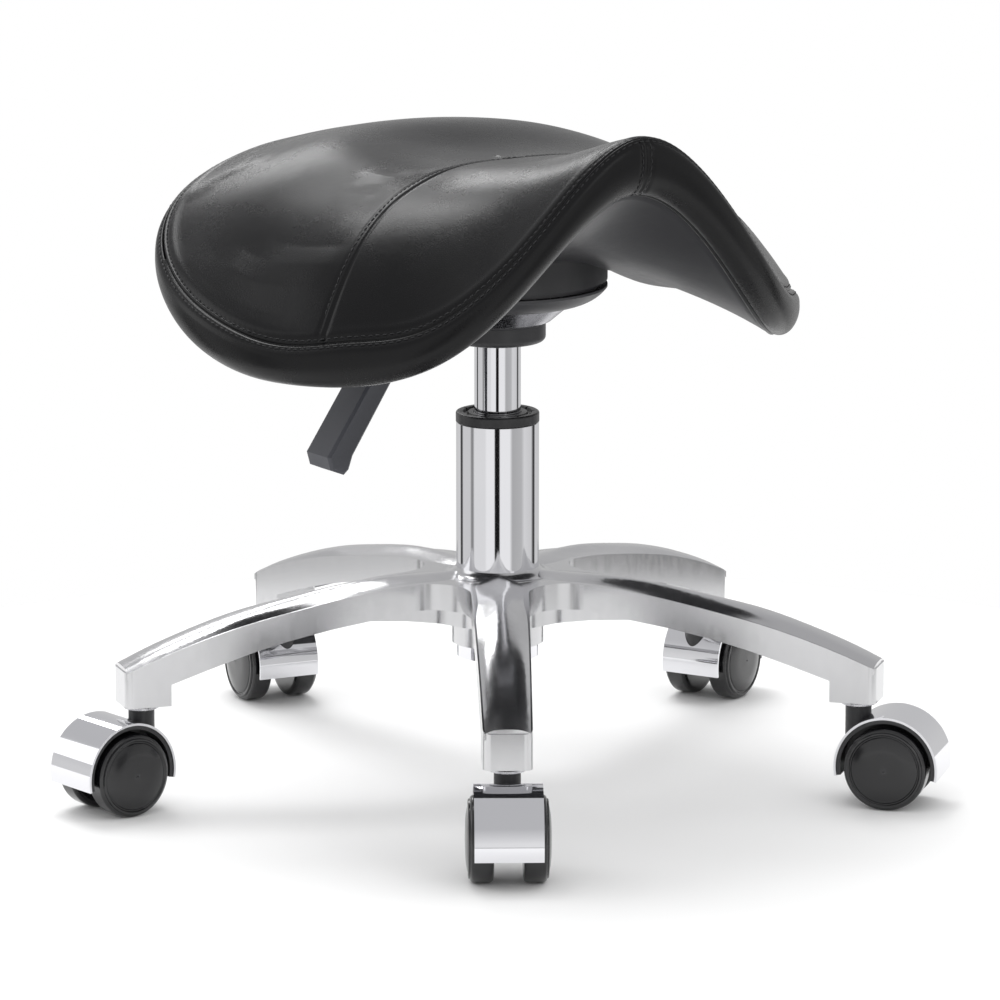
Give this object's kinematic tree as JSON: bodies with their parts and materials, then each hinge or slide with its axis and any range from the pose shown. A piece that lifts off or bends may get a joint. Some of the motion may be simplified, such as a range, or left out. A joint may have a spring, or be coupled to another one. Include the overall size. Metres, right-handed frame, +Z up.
{
  "type": "saddle stool",
  "caption": "Padded saddle seat with pommel on a gas-lift column, side height lever and a star base on twin-wheel castors with chromed hoods.",
  "frame": {"origin": "on the column axis at floor level, under the middle of the star base", "axes": "+Z up along the column; -Y toward the pommel, the way the sitter faces; -X to the sitter's right, where the lever is"},
  "size_m": [0.537, 0.5248, 0.4102],
  "materials": {
    "cast_aluminium": "polished casting",
    "chrome_column": "mirror chrome",
    "steel_small": "plain steel",
    "bush_plastic": "moulded",
    "bump_rubber": "moulded rubber",
    "rod_steel": "ground",
    "mechanism_paint": "moulded",
    "mechanism_steel": "pressed steel",
    "plate_steel": "black painted",
    "paddle_plastic": "fine moulded grain",
    "seat_leather": "smooth artificial leather",
    "under_fabric": "smooth dark cover",
    "pan_plastic": "moulded shell",
    "castor_steel": "plated",
    "castor_chrome": "mirror chrome",
    "castor_plastic": "moulded",
    "wheel_plastic": "gloss nylon"
  },
  "bodies": {
    "base": {"star_base": "cast_aluminium", "column_tube": "chrome_column", "column_end_plate": "steel_small", "guide_bush": "bush_plastic", "thrust_race_lower": "steel_small", "thrust_balls": "steel_small"},
    "rod": {"piston_rod": "rod_steel", "piston_head": "bush_plastic", "rod_clip": "steel_small", "thrust_race_upper": "steel_small", "bump_stop": "bump_rubber"},
    "seat": {"gas_cylinder": "chrome_column", "cylinder_gland": "rod_steel", "mechanism_boss": "mechanism_paint", "mechanism_cone": "mechanism_steel", "mechanism_dome": "mechanism_paint", "mount_plate": "plate_steel", "mount_bolts": "steel_small", "thread_inserts": "steel_small", "lever_pivot": "steel_small", "seat_pan": "pan_plastic", "seat_under_cover": "under_fabric", "seat_side_band": "seat_leather", "seat_cushion": "seat_leather"},
    "lever": {"lever_arm": "plate_steel", "lever_paddle": "paddle_plastic"},
    "valve": {"valve_pin": "steel_small"},
    "castor_1": {"castor_1_stem": "castor_steel", "castor_1_hood": "castor_chrome", "castor_1_housing": "castor_plastic", "castor_1_axle": "castor_steel"},
    "wheel_1_left": {"castor_1_wheel_left": "wheel_plastic"},
    "wheel_1_right": {"castor_1_wheel_right": "wheel_plastic"},
    "castor_2": {"castor_2_stem": "castor_steel", "castor_2_hood": "castor_chrome", "castor_2_housing": "castor_plastic", "castor_2_axle": "castor_steel"},
    "wheel_2_left": {"castor_2_wheel_left": "wheel_plastic"},
    "wheel_2_right": {"castor_2_wheel_right": "wheel_plastic"},
    "castor_3": {"castor_3_stem": "castor_steel", "castor_3_hood": "castor_chrome", "castor_3_housing": "castor_plastic", "castor_3_axle": "castor_steel"},
    "wheel_3_left": {"castor_3_wheel_left": "wheel_plastic"},
    "wheel_3_right": {"castor_3_wheel_right": "wheel_plastic"},
    "castor_4": {"castor_4_stem": "castor_steel", "castor_4_hood": "castor_chrome", "castor_4_housing": "castor_plastic", "castor_4_axle": "castor_steel"},
    "wheel_4_left": {"castor_4_wheel_left": "wheel_plastic"},
    "wheel_4_right": {"castor_4_wheel_right": "wheel_plastic"},
    "castor_5": {"castor_5_stem": "castor_steel", "castor_5_hood": "castor_chrome", "castor_5_housing": "castor_plastic", "castor_5_axle": "castor_steel"},
    "wheel_5_left": {"castor_5_wheel_left": "wheel_plastic"},
    "wheel_5_right": {"castor_5_wheel_right": "wheel_plastic"}
  },
  "joints": [
    {"name": "seat_swivel", "type": "hinge", "parent": "base", "child": "rod", "pos_m": [0, 0, 0.08], "axis": [0, 0, 1], "continuous": true},
    {"name": "seat_lift", "type": "slide", "parent": "rod", "child": "seat", "axis": [0, 0, 1], "range_m": [-0.035, 0.045]},
    {"name": "lever_pivot_hinge", "type": "hinge", "parent": "seat", "child": "lever", "pos_m": [-0.03, 0, 0.293], "axis": [0, 1, 0], "range_deg": [0, 8], "stiffness_Nm_per_rad": 1.2, "springref_deg": -6.88},
    {"name": "valve_press", "type": "slide", "parent": "seat", "child": "valve", "axis": [0, 0, 1], "range_m": [-0.0044, 0]},
    {"name": "castor_1_swivel", "type": "hinge", "parent": "base", "child": "castor_1", "pos_m": [-0.1199, -0.19039, 0.06], "axis": [0, 0, 1], "continuous": true},
    {"name": "wheel_1_left_spin", "type": "hinge", "parent": "castor_1", "child": "wheel_1_left", "pos_m": [-0.13112, -0.20814, 0.025], "axis": [0.8453, -0.5344, 0], "continuous": true},
    {"name": "wheel_1_right_spin", "type": "hinge", "parent": "castor_1", "child": "wheel_1_right", "pos_m": [-0.13112, -0.20814, 0.025], "axis": [0.8453, -0.5344, 0], "continuous": true},
    {"name": "castor_2_swivel", "type": "hinge", "parent": "base", "child": "castor_2", "pos_m": [0.14402, -0.17286, 0.06], "axis": [0, 0, 1], "continuous": true},
    {"name": "wheel_2_left_spin", "type": "hinge", "parent": "castor_2", "child": "wheel_2_left", "pos_m": [0.15758, -0.1889, 0.025], "axis": [0.7638, 0.6455, 0], "continuous": true},
    {"name": "wheel_2_right_spin", "type": "hinge", "parent": "castor_2", "child": "wheel_2_right", "pos_m": [0.15758, -0.1889, 0.025], "axis": [0.7638, 0.6455, 0], "continuous": true},
    {"name": "castor_3_swivel", "type": "hinge", "parent": "base", "child": "castor_3", "pos_m": [-0.21813, 0.05519, 0.06], "axis": [0, 0, 1], "continuous": true},
    {"name": "wheel_3_left_spin", "type": "hinge", "parent": "castor_3", "child": "wheel_3_left", "pos_m": [-0.23902, 0.05311, 0.025], "axis": [0.0993, -0.9951, 0], "continuous": true},
    {"name": "wheel_3_right_spin", "type": "hinge", "parent": "castor_3", "child": "wheel_3_right", "pos_m": [-0.23902, 0.05311, 0.025], "axis": [0.0993, -0.9951, 0], "continuous": true},
    {"name": "castor_4_swivel", "type": "hinge", "parent": "base", "child": "castor_4", "pos_m": [-0.01491, 0.22451, 0.06], "axis": [0, 0, 1], "continuous": true},
    {"name": "wheel_4_left_spin", "type": "hinge", "parent": "castor_4", "child": "wheel_4_left", "pos_m": [-0.01155, 0.24524, 0.025], "axis": [-0.9871, 0.1599, 0], "continuous": true},
    {"name": "wheel_4_right_spin", "type": "hinge", "parent": "castor_4", "child": "wheel_4_right", "pos_m": [-0.01155, 0.24524, 0.025], "axis": [-0.9871, 0.1599, 0], "continuous": true},
    {"name": "castor_5_swivel", "type": "hinge", "parent": "base", "child": "castor_5", "pos_m": [0.20891, 0.08356, 0.06], "axis": [0, 0, 1], "continuous": true},
    {"name": "wheel_5_left_spin", "type": "hinge", "parent": "castor_5", "child": "wheel_5_left", "pos_m": [0.22769, 0.09296, 0.025], "axis": [-0.4478, 0.8942, 0], "continuous": true},
    {"name": "wheel_5_right_spin", "type": "hinge", "parent": "castor_5", "child": "wheel_5_right", "pos_m": [0.22769, 0.09296, 0.025], "axis": [-0.4478, 0.8942, 0], "continuous": true}
  ],
  "couplings": [
    {"joint": "valve_press", "follows": "lever_pivot_hinge", "m_per_rad": -0.03}
  ]
}
